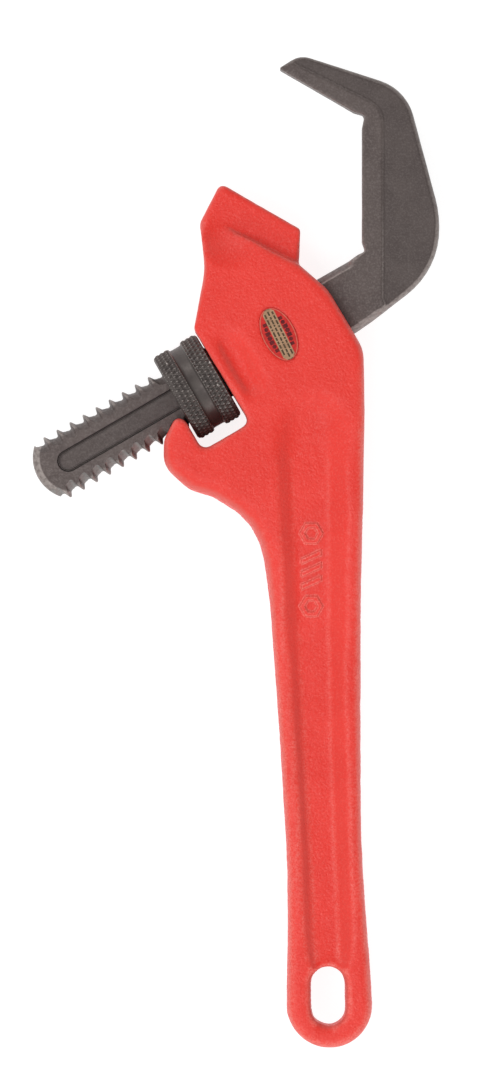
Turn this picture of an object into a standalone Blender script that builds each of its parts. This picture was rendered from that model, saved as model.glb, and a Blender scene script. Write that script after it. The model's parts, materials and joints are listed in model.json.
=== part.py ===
"""Offset hex wrench: an iron body, a threaded hook jaw and the knurled nut that moves it.

Shapes are worked out in millimetres about the wrench's middle plane, and each finished mesh is
scaled to metres.  The wrench lies on its side: +Y runs from the handle's end to the jaws, +Z is
the thickness, and z = 0 is the lower cheek of the housing.  The shank's axis passes straight
above the origin, tilted up from +X, and every object has its origin on that axis.
"""

import math

import bmesh
import bpy
from mathutils import Matrix, Vector

MM = 0.001
GAP = 0.3                      # left between pieces that touch
ARC_STEP = math.radians(15)    # the most that one segment of a round corner turns
ARC_SAG = 0.04                 # and the most that it cuts off a wide curve

# the shank's axis
SHANK_TILT = math.radians(30)
TO_SHANK = Matrix.Rotation(SHANK_TILT, 4, "Z")

# thickness of the body, from its middle plane
CHEEK_HALF = 13.5
HEEL_HALF = 8.25
HANDLE_HALF = 7.6
END_HALF = 7.0
TAPER_TOP = -44.0              # the housing's full thickness ends here
TAPER_END = -98.0              # and the handle's starts here

# the handle's round end and its hanging hole
EYE_CENTRE = Vector((14.45, -186.8))
EYE_RADIUS = 11.85
HOLE_CENTRE = Vector((14.05, -184.1))
HOLE_WIDTH = 9.9
HOLE_LENGTH = 16.7
HOLE_TILT = math.radians(1.1)
HANDLE_ROWS = 18
HANDLE_EDGE = 2.3
CHIN_EDGE = 4.2                # the wider rounding at the chin, on the left, where the handle begins

# the two edges of the handle, as (y, x) from the housing down to the eye
LEFT_EDGE = [(-44, -18.3), (-47.3, -12.6), (-50.6, -8.7), (-56.2, -5.3), (-62, -3.7), (-73, -2.2),
             (-90, -0.9), (-112, 0.7), (-135, 2.1), (-152, 2.9), (-170, 2.85), (-186.8, 2.6)]
RIGHT_EDGE = [(-44, 23.8), (-60, 23.35), (-73, 23.1), (-118, 23.0), (-142, 23.3), (-157, 24.2),
              (-170, 25.15), (-180, 26.0), (-186.8, 26.3)]

# the sunk panel on each side of the handle, as (y, lip, foot, foot, lip) from its round top down
PANEL = [(-14.8, 9.4, 10.6, 11.4, 12.6), (-17, 4.8, 8.2, 13.0, 16.4), (-21, 1.4, 5.6, 13.8, 18.6),
         (-28, -0.5, 3.7, 14.0, 19.3), (-42, -0.1, 4.0, 14.1, 19.3), (-62, 1.1, 4.9, 14.1, 19.2),
         (-84, 2.2, 6.0, 14.3, 19.1), (-118, 4.9, 7.6, 14.9, 19.4), (-146, 6.4, 9.2, 16.0, 20.2),
         (-162, 7.0, 9.9, 16.6, 20.9), (-172, 7.8, 10.4, 17.0, 20.8), (-179, 9.4, 11.4, 16.8, 19.2),
         (-183, 12.6, 13.4, 14.4, 15.2)]
PANEL_DEPTH = 2.6
PANEL_TOP_SLOPE = 10.0         # the length over which its floor rises to the housing
PANEL_END_SLOPE = 16.0         # and to the eye, where the hanging hole cuts it

# the step from the cheek down to the heel jaw, and the share of its height that is left at
# distances from its right end
STEP_RIGHT = Vector((5.3, 21.3))
STEP_LEFT = Vector((-20.2, 34.0))
STEP_SHARES = [(7.0, 1.08), (10.0, 1.0), (12.5, 0.9), (15.0, 0.74), (17.5, 0.53), (20.0, 0.3), (22.5, 0.1),
               (24.5, 0.0), (36.0, 0.0)]
SLOPE_RUN = 13.5

# the window that the nut turns in, along (u) and across (v) the shank
WINDOW_WALL = -19.0
WINDOW_LEFT = -33.9
WINDOW_FLOOR = -16.4

# the threaded shank, and the channel that it slides in
PITCH = 25.4 / 6
THREAD_CREST = 9.2
THREAD_ROOT = 7.5
THREAD_START = -85.27
SHANK_HALF = 5.4
SHANK_END = -77.7
SHANK_END_RADIUS = 11.6
THREAD_STOP = 17.0
CHANNEL_RADIUS = 9.6
CHANNEL_HALF = 5.95
THREAD_SIDES = 24

# the hook jaw
NECK = [(11, 1), (20, 1), (26, 0.95), (31, 0.88)]    # its unthreaded neck, whose lower side rises
HOOK_START = 28.0              # the hook widens from here, beyond what slides into the channel
HOOK_HALF = 5.6
HOOK_STEP = 0.45               # how far its outer web lies below its inner pad
SLOT_HALF_WIDTH = 3.05
SLOT_START = -71.0
SLOT_END = 10.0
SLOT_DEPTH = 0.6

# the nut
NUT_RIGHT = WINDOW_WALL - GAP
NUT_LENGTH = 13.9
NUT_RADIUS = 13.25
NUT_BAND = 5.2
NUT_GROOVE = 0.8
NUT_SIDES = 48

# the leaf and the coil that press on the shank from below
LEAF_LENGTH = 26.0
LEAF_HALF_WIDTH = 3.0
LEAF_THICK = 0.8
LEAF_BOW = 1.0
LEAF_TOP = -(THREAD_CREST + GAP + 0.05)
POCKET_RADIUS = 3.3
POCKET_FLOOR = -21.2
COIL_WIRE = 1.0
COIL_RADIUS = 2.4
COIL_TURNS = 5
RIVET_SHANK = 0.8
RIVET_HEAD = 1.55
RIVET_HEAD_LENGTH = 1.0

# the oval label, set into the upper cheek
LABEL_CENTRE = Vector((0.15, 1.3))
LABEL_HALF_LENGTH = 8.0
LABEL_HALF_WIDTH = 4.7
LABEL_TURN = math.radians(-63.7)
LABEL_SEAT = 0.35
LABEL_THICK = 0.3


# ---- meshes -----------------------------------------------------------------------------------

def mesh_object(name, points, faces):
    """An object of its own from points in millimetres and faces."""
    mesh = bpy.data.meshes.new(name)
    mesh.from_pydata([tuple(p) for p in points], [], faces)
    fix = bmesh.new()
    fix.from_mesh(mesh)
    bmesh.ops.recalc_face_normals(fix, faces=fix.faces)
    fix.to_mesh(mesh)
    fix.free()
    made = bpy.data.objects.new(name, mesh)
    bpy.context.scene.collection.objects.link(made)
    return made


def skin(name, rings):
    """A closed solid through rings of equal length, with a flat cap on the first and the last."""
    count = len(rings[0])
    points = [p for ring in rings for p in ring]
    faces = [list(range(count)), list(range(len(points) - count, len(points)))]
    for r in range(len(rings) - 1):
        for i in range(count):
            j = (i + 1) % count
            low, high = r * count, (r + 1) * count
            faces.append([low + i, low + j, high + j, high + i])
    return mesh_object(name, points, faces)


def combine(target, other, operation):
    """Join another solid to the target, cut it away, or keep only what they share."""
    modifier = target.modifiers.new(operation.lower(), "BOOLEAN")
    modifier.operation = operation
    modifier.solver = "EXACT"
    modifier.object = other
    seen = target.evaluated_get(bpy.context.evaluated_depsgraph_get())
    result = bpy.data.meshes.new_from_object(seen)
    target.modifiers.clear()
    target.data = result
    bpy.data.objects.remove(other, do_unlink=True)


def moved(made, matrix):
    """The object with its mesh moved by a matrix."""
    made.data.transform(matrix)
    if matrix.determinant() < 0:
        made.data.flip_normals()
    return made


def flipped(made):
    """The object's mesh mirrored to the other side of the middle plane."""
    return moved(made, Matrix.Scale(-1, 4, (0, 0, 1)))


# ---- outlines ---------------------------------------------------------------------------------

def rounded(corners):
    """An outline of (point, edge radius) from corners (x, y, corner radius, edge radius)."""
    out = []
    for i, (x, y, radius, edge) in enumerate(corners):
        corner = Vector((x, y))
        if not radius:
            out.append((corner, edge))
            continue
        back = (Vector(corners[i - 1][:2]) - corner).normalized()
        ahead = (Vector(corners[(i + 1) % len(corners)][:2]) - corner).normalized()
        half = back.angle(ahead) / 2
        centre = corner + (back + ahead).normalized() * radius / math.sin(half)
        first = corner + back * radius / math.tan(half) - centre
        last = corner + ahead * radius / math.tan(half) - centre
        start = math.atan2(first.y, first.x)
        sweep = (math.atan2(last.y, last.x) - start + math.pi) % math.tau - math.pi
        steps = math.ceil(abs(sweep) / min(ARC_STEP, 2 * math.acos(1 - min(ARC_SAG / radius, 1))))
        for k in range(steps + 1):
            angle = start + sweep * k / steps
            out.append((centre + radius * Vector((math.cos(angle), math.sin(angle))), edge))
    return out


def inward(outline, i):
    """How far the outline's point i moves for each millimetre of inset."""
    here = outline[i][0]
    back = (here - outline[i - 1][0]).normalized()
    ahead = (outline[(i + 1) % len(outline)][0] - here).normalized()
    normals = Vector((-back.y, back.x)), Vector((-ahead.y, ahead.x))
    return (normals[0] + normals[1]) / (1 + normals[0].dot(normals[1]))


def edge_rings(outline, half, steps=3):
    """Rings over an outline's rounded edges, from its underside to its top."""
    shifts = [inward(outline, i) for i in range(len(outline))]
    upper = []
    for k in range(steps + 1):
        angle = math.pi / 2 * k / steps
        ring = []
        for (point, edge), shift in zip(outline, shifts):
            place = point + shift * edge * (1 - math.cos(angle))
            ring.append((place.x, place.y, half(point.y) - edge * (1 - math.sin(angle))))
        upper.append(ring)
    return [[(x, y, -z) for x, y, z in ring] for ring in reversed(upper)] + upper


def slab(name, outline, half):
    """A flat solid of an anticlockwise outline, with its edges rounded."""
    return skin(name, edge_rings(outline, lambda y: half))


def ellipse(centre, long_half, short_half, turn, count=28):
    """Points of an ellipse whose long axis is turned from +X."""
    frame = Matrix.Rotation(turn, 2)
    angles = [math.tau * k / count for k in range(count)]
    return [centre + frame @ Vector((long_half * math.cos(a), short_half * math.sin(a))) for a in angles]


def stadium(first, last, radius, count=8):
    """Points of an outline with two half-round ends, around the line between two points."""
    along = math.atan2(last.y - first.y, last.x - first.x)
    out = []
    for centre, start in ((first, along + math.pi / 2), (last, along - math.pi / 2)):
        for k in range(count + 1):
            angle = start + math.pi * k / count
            out.append(centre + radius * Vector((math.cos(angle), math.sin(angle))))
    return out


def shank_place(u, v):
    """The wrench's x and y of a place along and across the shank."""
    place = TO_SHANK @ Vector((u, v, 0))
    return place.x, place.y


def smooth_through(stations, y):
    """A smooth curve's value at y, through (y, value) stations that run downwards."""
    last = len(stations) - 1
    i = next((k for k in range(last) if y >= stations[k + 1][0]), last - 1)
    (y0, a), (y1, b) = stations[i], stations[i + 1]
    before = stations[max(i - 1, 0)]
    after = stations[min(i + 2, last)]
    slope_a = (b - before[1]) / (y1 - before[0])
    slope_b = (after[1] - a) / (after[0] - y0)
    t = (y - y0) / (y1 - y0)
    step = y1 - y0
    return ((2 * t**3 - 3 * t**2 + 1) * a + (t**3 - 2 * t**2 + t) * step * slope_a
            + (3 * t**2 - 2 * t**3) * b + (t**3 - t**2) * step * slope_b)


# ---- body -------------------------------------------------------------------------------------

def body_half(y):
    """Half the body's thickness: full at the housing, then tapering into the handle."""
    if y >= TAPER_TOP:
        return CHEEK_HALF
    if y >= TAPER_END:
        t = (TAPER_TOP - y) / (TAPER_TOP - TAPER_END)
        return CHEEK_HALF + (HANDLE_HALF - CHEEK_HALF) * (3 * t**2 - 2 * t**3)
    t = (TAPER_END - y) / (TAPER_END - EYE_CENTRE.y + EYE_RADIUS)
    return HANDLE_HALF + (END_HALF - HANDLE_HALF) * t


def handle_rows():
    """Pairs of points on the handle's right and left edges, from its end up to the housing."""
    pairs = []
    for degrees in (83, 74, 65, 56, 47, 38, 29, 20, 10):
        angle = math.radians(degrees)
        drop = EYE_RADIUS * math.sin(angle)
        reach = Vector((EYE_RADIUS * math.cos(angle), 0))
        middle = EYE_CENTRE - Vector((0, drop))
        pairs.append((middle + reach, middle - reach))
    for k in range(HANDLE_ROWS, -1, -1):
        y = TAPER_TOP + (EYE_CENTRE.y - TAPER_TOP) * (k / HANDLE_ROWS) ** 1.6
        pairs.append((Vector((smooth_through(RIGHT_EDGE, y), y)), Vector((smooth_through(LEFT_EDGE, y), y))))
    return pairs


def housing_outline():
    """The housing's outline between the handle's two edges, anticlockwise from its lower right."""
    return rounded([
        (RIGHT_EDGE[0][1], TAPER_TOP, 0, 0), (24.2, -20, 80, 2.2), (23.9, -2.8, 10, 2.2),
        (13.9, 13.9, 14, 2.0), (*STEP_RIGHT, 2.0, 1.6), (*STEP_LEFT, 2.0, 1.0), (-21.7, 30.6, 4, 1.6),
        (-20.4, 19.5, 25, 1.8), (*shank_place(WINDOW_WALL, 14.2), 1.0, 0.4),
        (*shank_place(WINDOW_WALL + 0.5, WINDOW_FLOOR), 2.2, 0.8),
        (*shank_place(WINDOW_LEFT, WINDOW_FLOOR), 2.2, 1.2),
        (*shank_place(WINDOW_LEFT, -7.2), 2.0, 1.2),
        (-28.4, -21.2, 1.9, 1.6), (-31.9, -28.1, 4, 2.8), (-32.2, -35.4, 7, 3.6),
        (-25.0, -42.0, 9, CHIN_EDGE),
        (LEFT_EDGE[0][1], TAPER_TOP, 0, 0)])[1:-1]


def left_edge(y):
    """The radius of the handle's rounding on its left, wider up to the chin."""
    t = min(max((y + 90) / 40, 0), 1)
    return HANDLE_EDGE + (CHIN_EDGE - HANDLE_EDGE) * (3 * t**2 - 2 * t**3)


def main_casting():
    """Housing and handle in one: a flat housing and rows of quads down the tapering handle."""
    pairs = handle_rows()
    right = [(pair[0], HANDLE_EDGE) for pair in pairs]
    left = [(point, left_edge(point.y)) for _, point in reversed(pairs)]
    outline = right + housing_outline() + left
    rings = edge_rings(outline, body_half)
    count, rows = len(outline), len(pairs)
    points = [p for ring in rings for p in ring]
    faces = []
    for r in range(len(rings) - 1):
        for i in range(count):
            j = (i + 1) % count
            faces.append([r * count + i, r * count + j, (r + 1) * count + j, (r + 1) * count + i])
    for base in (0, len(points) - count):
        faces.append([base + i for i in range(rows - 1, count - rows + 1)])
        for k in range(rows - 1):
            faces.append([base + k, base + k + 1, base + count - 2 - k, base + count - 1 - k])
    return mesh_object("handle_housing", points, faces)


def heel_jaw():
    """The heel jaw's block, thinner than the cheeks, which rises out of the housing."""
    return slab("heel", rounded([
        (4.0, 8.0, 0, 0.8), (5.75, 20.0, 0, 0.8), (6.25, 30.85, 0.9, 0.8), (-16.15, 43.783, 1.8, 1.0),
        (-22.0, 32.5, 2.6, 1.2), (-20.7, 24.0, 0, 1.2), (-12.0, 8.0, 0, 1.0)]), HEEL_HALF)


def cheek_slope():
    """The cutter that turns the step from the upper cheek to the heel jaw into a slope on its left."""
    along = (STEP_LEFT - STEP_RIGHT).normalized()
    back = Vector((-along.y, along.x))
    low = HEEL_HALF + 0.15
    rings = []
    for reach, left in STEP_SHARES:
        section = [(-14, left)]
        for k in range(8):
            t = k / 7
            section.append((t * SLOPE_RUN, left + (1.08 - left) * (3 * t**2 - 2 * t**3)))
        ring = []
        for away, share in section + [(SLOPE_RUN, 1.6), (-14, 1.6)]:
            place = STEP_RIGHT + along * reach + back * away
            ring.append((place.x, place.y, low + (CHEEK_HALF - low) * share))
        rings.append(ring)
    return skin("slope", rings)


def flatted_bar(name, radius, half, stations):
    """A round bar with two flats along the shank's axis, from (u, scale of its lower side) stations."""
    lean = math.asin(half / radius)
    angles = [-lean + 2 * lean * k / 6 for k in range(7)]
    side = [(radius * math.cos(a), radius * math.sin(a)) for a in angles]
    rings = []
    for u, lower in stations:
        rings.append([(u, v, z) for v, z in side] + [(u, -v * lower, -z) for v, z in side])
    return moved(skin(name, rings), TO_SHANK)


def channel():
    """The way that the shank slides through, between the window's prongs and out on the right."""
    return flatted_bar("channel", CHANNEL_RADIUS, CHANNEL_HALF, [(-60, 1), (45, 1)])


def panel_depth(y):
    """How deep the panel's floor lies, which rises towards both of its ends."""
    share = min(1, 0.16 + (PANEL[0][0] - y) / PANEL_TOP_SLOPE, 0.12 + (y - PANEL[-1][0]) / PANEL_END_SLOPE)
    return PANEL_DEPTH * (3 * share**2 - 2 * share**3)


def panel():
    """The cutter for the sunk panel on the upper side, with sloping walls."""
    rings = []
    for y, lip_a, foot_a, foot_b, lip_b in PANEL:
        top, floor = body_half(y) + 1, body_half(y) - panel_depth(y)
        rise = 1 / PANEL_DEPTH
        rings.append([(lip_a + (lip_a - foot_a) * rise, y, top), (foot_a, y, floor),
                      (foot_b, y, floor), (lip_b + (lip_b - foot_b) * rise, y, top)])
    return skin("panel", smooth_rings(rings))


def smooth_rings(rings, between=3):
    """The rings with more between them, on a smooth curve through each row of points."""
    ys = [ring[0][1] for ring in rings]
    dense = [ys[i] + (ys[i + 1] - ys[i]) * k / between for i in range(len(ys) - 1) for k in range(between)]
    dense.append(ys[-1])
    out = []
    for y in dense:
        ring = []
        for corner in range(len(rings[0])):
            x = smooth_through([(r[corner][1], r[corner][0]) for r in rings], y)
            z = smooth_through([(r[corner][1], r[corner][2]) for r in rings], y)
            ring.append((x, y, z))
        out.append(ring)
    return out


def hanging_hole():
    """The eye's oval hole, which flares at both faces."""
    along = Matrix.Rotation(HOLE_TILT, 2) @ Vector((0, 1))
    reach = along * (HOLE_LENGTH - HOLE_WIDTH) / 2
    flares = [(5.4, 0), (6.3, 0.35), (7, 1.0), (9, 2.4)]
    rings = []
    for z, flare in [(-z, flare) for z, flare in reversed(flares)] + flares:
        ring = stadium(HOLE_CENTRE - reach, HOLE_CENTRE + reach, HOLE_WIDTH / 2 + flare)
        rings.append([(p.x, p.y, z) for p in ring])
    return skin("hole", rings)


def spring_pocket():
    """The groove for the leaf under the channel, and the round pocket for the coil below it."""
    ends = (-LEAF_LENGTH / 2 - 1.5 - 1, LEAF_LENGTH / 2 + 1.5 - 1)
    floor = LEAF_TOP - LEAF_THICK - LEAF_BOW - GAP
    half = LEAF_HALF_WIDTH + 0.4
    section = [(-8, -half), (-8, half), (floor, half), (floor, -half)]
    groove = skin("groove", [[(u, v, z) for v, z in section] for u in ends])
    angles = [math.tau * k / 20 for k in range(20)]
    circle = [(POCKET_RADIUS * math.cos(a), POCKET_RADIUS * math.sin(a)) for a in angles]
    pocket = skin("pocket", [[(x, v, z) for x, z in circle] for v in (-8.5, POCKET_FLOOR)])
    combine(groove, pocket, "UNION")
    return moved(groove, TO_SHANK)


def thumb_valley():
    """A long shallow dip in the upper cheek beside the nut, steeper on the nut's side."""
    made = ball("valley", 24, 16)
    shape = Matrix.Diagonal((5.2, 13.5, 4.6, 1))
    lean = Matrix.Rotation(math.radians(14), 4, "Y")
    place = Matrix.Translation((-13.0, -1.6, CHEEK_HALF + 3.1))
    return moved(made, TO_SHANK @ place @ lean @ shape)


def ball(name, around, rows):
    """A sphere of radius 1."""
    made = mesh_object(name, [], [])
    build = bmesh.new()
    bmesh.ops.create_uvsphere(build, u_segments=around, v_segments=rows, radius=1)
    build.to_mesh(made.data)
    build.free()
    return made


def label_outline(grow):
    """The label's oval, larger all round by grow."""
    return ellipse(LABEL_CENTRE, LABEL_HALF_LENGTH + grow, LABEL_HALF_WIDTH + grow, LABEL_TURN)


def label_prism(name, grow, low, high):
    """A straight-sided oval between two heights."""
    return skin(name, [[(p.x, p.y, z) for p in label_outline(grow)] for z in (low, high)])


def handle_housing():
    made = main_casting()
    combine(made, heel_jaw(), "UNION")
    for cutter in (cheek_slope, panel, thumb_valley):
        combine(made, cutter(), "DIFFERENCE")
        combine(made, flipped(cutter()), "DIFFERENCE")
    for cutter in (channel, hanging_hole, spring_pocket):
        combine(made, cutter(), "DIFFERENCE")
    seat = label_prism("seat", GAP, CHEEK_HALF - LABEL_SEAT, CHEEK_HALF + 1)
    combine(made, seat, "DIFFERENCE")
    return made


# ---- hook jaw ---------------------------------------------------------------------------------

def threaded_rod(name, start, turns, root, crest):
    """A right-hand threaded rod along +X, with one crest and one root in each pitch."""
    profile = [(0.0, root), (0.16, root), (0.46, crest), (0.54, crest), (0.84, root)]
    per_turn = len(profile)
    points = []
    rows = per_turn * turns + 1
    for side in range(THREAD_SIDES):
        angle = math.tau * side / THREAD_SIDES
        for row in range(rows):
            part, radius = profile[row % per_turn]
            u = start + PITCH * (row // per_turn + part + side / THREAD_SIDES)
            points.append((u, radius * math.cos(angle), radius * math.sin(angle)))
    faces = []
    for side in range(THREAD_SIDES):
        seam = side == THREAD_SIDES - 1
        shift = per_turn if seam else 0
        following = 0 if seam else side + 1
        for row in range(rows - 1 - shift):
            a, b = side * rows + row, following * rows + row + shift
            faces.append([a, a + 1, b + 1, b])
    foot = [side * rows for side in range(THREAD_SIDES)] + list(range(per_turn, 0, -1))
    last = (THREAD_SIDES - 1) * rows
    head = [side * rows + rows - 1 for side in range(THREAD_SIDES)]
    head += [last + row for row in range(rows - 2, rows - 2 - per_turn, -1)]
    for loop in (foot, head):
        middle = sum((Vector(points[i]) for i in loop), Vector()) / len(loop)
        points.append((middle.x, 0.0, 0.0))
        faces += [[loop[i], loop[(i + 1) % len(loop)], len(points) - 1] for i in range(len(loop))]
    return mesh_object(name, points, faces)


def shank():
    """The threaded shank: a screw with two flats and a rounded end."""
    turns = math.ceil((THREAD_STOP - THREAD_START) / PITCH) + 2
    made = threaded_rod("shank", THREAD_START, turns, THREAD_ROOT, THREAD_CREST)
    centre = SHANK_END + SHANK_END_RADIUS
    half_width = THREAD_CREST + 0.1
    spread = math.asin(half_width / SHANK_END_RADIUS)
    angles = [math.pi - spread + 2 * spread * k / 12 for k in range(13)]
    arc = [Vector((centre + SHANK_END_RADIUS * math.cos(a), SHANK_END_RADIUS * math.sin(a))) for a in angles]
    square = [Vector((THREAD_STOP, -half_width)), Vector((THREAD_STOP, half_width))]
    outline = [(p, 1.9) for p in arc] + [(p, 0.3) for p in square]
    combine(made, slab("blank", outline, SHANK_HALF), "INTERSECT")
    return moved(made, TO_SHANK)


def hook_outline():
    """The hook's outline, anticlockwise from the neck's lower side."""
    return rounded([
        (*shank_place(HOOK_START, 0.85 - THREAD_CREST), 0, 2.2), (45.4, 19.8, 23, 2.6),
        (45.2, 36.0, 30, 2.4), (35.95, 70.4, 14, 2.4), (6.2, 79.9, 6, 1.6), (0.2, 76.05, 0.4, 0.2),
        (21.3, 63.87, 1.2, 0.5), (24.35, 63.0, 1.0, 0.5), (23.6, 59.4, 1.5, 0.5),
        (23.6, 27.4, 1.2, 0.5), (24.5, 24.8, 0.8, 0.6), (22.2, 23.75, 1.2, 1.4),
        (*shank_place(HOOK_START, THREAD_CREST - 0.1), 0, 1.7)])


def outer_web():
    """The cutter that lowers the hook's back behind its inner pad, on the upper side."""
    crease = rounded([
        (*shank_place(8, -7.0), 0, 0), (29.3, 8.0, 3.5, 0), (29.3, 65.0, 6.5, 0), (-2.0, 80.6, 0, 0),
        (10.0, 95.0, 0, 0), (60.0, 90.0, 0, 0), (60.0, -20.0, 0, 0), (20.0, -20.0, 0, 0)])
    low, high = HOOK_HALF - HOOK_STEP, HOOK_HALF + 3
    return skin("web", [[(p.x, p.y, z) for p, _ in crease] for z in (low, high)])


def slot():
    """The cutter for the shank's sunk slot on the upper flat, with sloping walls."""
    floor = SHANK_HALF - SLOT_DEPTH
    rings = []
    for z, grow in ((floor, -0.35), (SHANK_HALF, 0), (SHANK_HALF + 1, 0.6)):
        radius = SLOT_HALF_WIDTH + grow
        first = Vector((SLOT_START + SLOT_HALF_WIDTH, 0))
        ring = stadium(first, Vector((SLOT_END, 0)), radius)
        rings.append([(p.x, p.y, z) for p in ring])
    return moved(skin("slot", rings), TO_SHANK)


def hook_jaw():
    made = slab("hook_jaw", hook_outline(), HOOK_HALF)
    combine(made, outer_web(), "DIFFERENCE")
    combine(made, flipped(outer_web()), "DIFFERENCE")
    combine(made, flatted_bar("neck", THREAD_CREST, HOOK_HALF, NECK), "UNION")
    combine(made, shank(), "UNION")
    combine(made, slot(), "DIFFERENCE")
    combine(made, flipped(slot()), "DIFFERENCE")
    return made


# ---- nut --------------------------------------------------------------------------------------

def nut_blank():
    """The nut without its bore: two bands with a groove between them, and rounded edges."""
    left = NUT_RIGHT - NUT_LENGTH
    groove = NUT_RADIUS - NUT_GROOVE
    profile = [(0, 10.2), (0, NUT_RADIUS - 0.9), (0.3, NUT_RADIUS - 0.25), (0.9, NUT_RADIUS),
               (NUT_BAND - 0.4, NUT_RADIUS), (NUT_BAND, NUT_RADIUS - 0.3), (NUT_BAND + 0.3, groove)]
    profile += [(NUT_LENGTH - u, r) for u, r in reversed(profile)]
    rings = []
    for u, radius in profile:
        angles = [math.tau * k / NUT_SIDES for k in range(NUT_SIDES)]
        rings.append([(left + u, radius * math.cos(a), radius * math.sin(a)) for a in angles])
    return skin("adjusting_nut", rings)


def adjusting_nut():
    made = nut_blank()
    before = math.floor((NUT_RIGHT - NUT_LENGTH - THREAD_START) / PITCH) - 2
    turns = math.ceil(NUT_LENGTH / PITCH) + 5
    start = THREAD_START + before * PITCH
    bore = threaded_rod("bore", start, turns, THREAD_ROOT + GAP, THREAD_CREST + GAP)
    combine(made, bore, "DIFFERENCE")
    return moved(made, TO_SHANK)


# ---- springs ----------------------------------------------------------------------------------

def flat_spring():
    """A bowed leaf whose middle presses on the shank."""
    stations = [-1 + 2 * k / 16 for k in range(17)]
    rings = []
    for t in stations:
        u = -1 + t * LEAF_LENGTH / 2
        top = LEAF_TOP - LEAF_BOW * t * t
        low = top - LEAF_THICK
        rings.append([(u, top, -LEAF_HALF_WIDTH), (u, top, LEAF_HALF_WIDTH),
                      (u, low, LEAF_HALF_WIDTH), (u, low, -LEAF_HALF_WIDTH)])
    made = skin("flat_spring", rings)
    combine(made, turned("drill", [(-8, RIVET_SHANK + GAP), (-13, RIVET_SHANK + GAP)], 16), "DIFFERENCE")
    return moved(made, TO_SHANK)


def turned(name, profile, sides):
    """A solid turned about the v axis from (v, radius) places."""
    rings = []
    for v, radius in profile:
        angles = [math.tau * k / sides for k in range(sides)]
        rings.append([(radius * math.cos(a), v, radius * math.sin(a)) for a in angles])
    return skin(name, rings)


def coil_spring():
    """A helix of round wire in the pocket, under the leaf."""
    wire = COIL_WIRE / 2
    top = LEAF_TOP - LEAF_THICK - GAP - wire
    low = POCKET_FLOOR + GAP + wire
    steps = 14 * COIL_TURNS
    rings = []
    for k in range(steps + 1):
        turn = math.tau * COIL_TURNS * k / steps
        out = Vector((math.cos(turn), 0, math.sin(turn)))
        centre = out * COIL_RADIUS + Vector((0, low + (top - low) * k / steps, 0))
        ring = []
        for side in range(8):
            angle = math.tau * side / 8
            ring.append(centre + wire * (out * math.cos(angle) + Vector((0, math.sin(angle), 0))))
        rings.append(ring)
    return moved(skin("coil_spring", rings), TO_SHANK)


def spring_rivet():
    """The rivet through the leaf, whose head centres the coil."""
    head = LEAF_TOP - LEAF_THICK - GAP
    profile = [(LEAF_TOP - 0.05, RIVET_SHANK - 0.15), (LEAF_TOP - 0.2, RIVET_SHANK), (head, RIVET_SHANK),
               (head, RIVET_HEAD), (head - RIVET_HEAD_LENGTH * 0.6, RIVET_HEAD),
               (head - RIVET_HEAD_LENGTH, RIVET_HEAD * 0.6)]
    return moved(turned("spring_rivet", profile, 18), TO_SHANK)


def nameplate():
    floor = CHEEK_HALF - LABEL_SEAT + GAP
    return label_prism("nameplate", 0, floor, floor + LABEL_THICK)


# ---- the whole wrench -------------------------------------------------------------------------

PIECES = [
    (handle_housing, (0.78, 0.06, 0.04), 0.42, 0.0),
    (hook_jaw, (0.115, 0.098, 0.092), 0.5, 0.8),
    (adjusting_nut, (0.072, 0.066, 0.062), 0.45, 0.8),
    (flat_spring, (0.32, 0.33, 0.35), 0.35, 1.0),
    (coil_spring, (0.32, 0.33, 0.35), 0.35, 1.0),
    (spring_rivet, (0.4, 0.4, 0.4), 0.4, 1.0),
    (nameplate, (0.5, 0.33, 0.19), 0.4, 0.3),
]


def material(name, colour, roughness, metallic):
    made = bpy.data.materials.new(name)
    made.use_nodes = True
    shader = made.node_tree.nodes["Principled BSDF"]
    shader.inputs["Base Color"].default_value = (*colour, 1)
    shader.inputs["Roughness"].default_value = roughness
    shader.inputs["Metallic"].default_value = metallic
    return made


def finish(made, finish_material):
    """Scale the mesh to metres, put its origin on the shank's axis and shade it."""
    mesh = made.data
    mesh.transform(Matrix.Scale(MM, 4))
    mesh.materials.clear()
    mesh.materials.append(finish_material)
    mesh.shade_smooth()
    mesh.set_sharp_from_angle(angle=math.radians(35))
    made.location = (0, 0, CHEEK_HALF * MM)


def build():
    for item in list(bpy.data.objects):
        bpy.data.objects.remove(item, do_unlink=True)
    for make, colour, roughness, metallic in PIECES:
        made = make()
        finish(made, material(made.name + "_finish", colour, roughness, metallic))


build()
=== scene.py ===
"""Looks of the offset hex wrench: a painted sand casting, a forged hook jaw and a knurled nut.

Shapes are worked out in millimetres.  The shank's own axes are u along it, v across it in the
wrench's flat, and w, the wrench's thickness, all from the point where the nut turns.
"""

import json
import math

import bmesh
import bpy
import numpy as np
from mathutils import Euler, Matrix, Vector, noise


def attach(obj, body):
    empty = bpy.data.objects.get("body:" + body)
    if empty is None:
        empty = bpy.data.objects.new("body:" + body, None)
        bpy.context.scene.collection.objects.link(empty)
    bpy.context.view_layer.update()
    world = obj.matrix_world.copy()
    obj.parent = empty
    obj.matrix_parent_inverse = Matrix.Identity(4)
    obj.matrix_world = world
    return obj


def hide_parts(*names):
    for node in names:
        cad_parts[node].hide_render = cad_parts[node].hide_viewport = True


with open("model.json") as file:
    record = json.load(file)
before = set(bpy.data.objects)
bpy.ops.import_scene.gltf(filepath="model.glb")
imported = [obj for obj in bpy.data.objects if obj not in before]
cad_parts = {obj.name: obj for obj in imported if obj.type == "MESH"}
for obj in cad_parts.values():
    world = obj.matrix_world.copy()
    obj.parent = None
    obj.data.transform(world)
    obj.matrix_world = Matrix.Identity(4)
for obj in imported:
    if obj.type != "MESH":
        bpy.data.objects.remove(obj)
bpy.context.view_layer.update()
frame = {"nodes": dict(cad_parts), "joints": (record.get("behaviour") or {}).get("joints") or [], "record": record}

MM = 0.001
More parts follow.
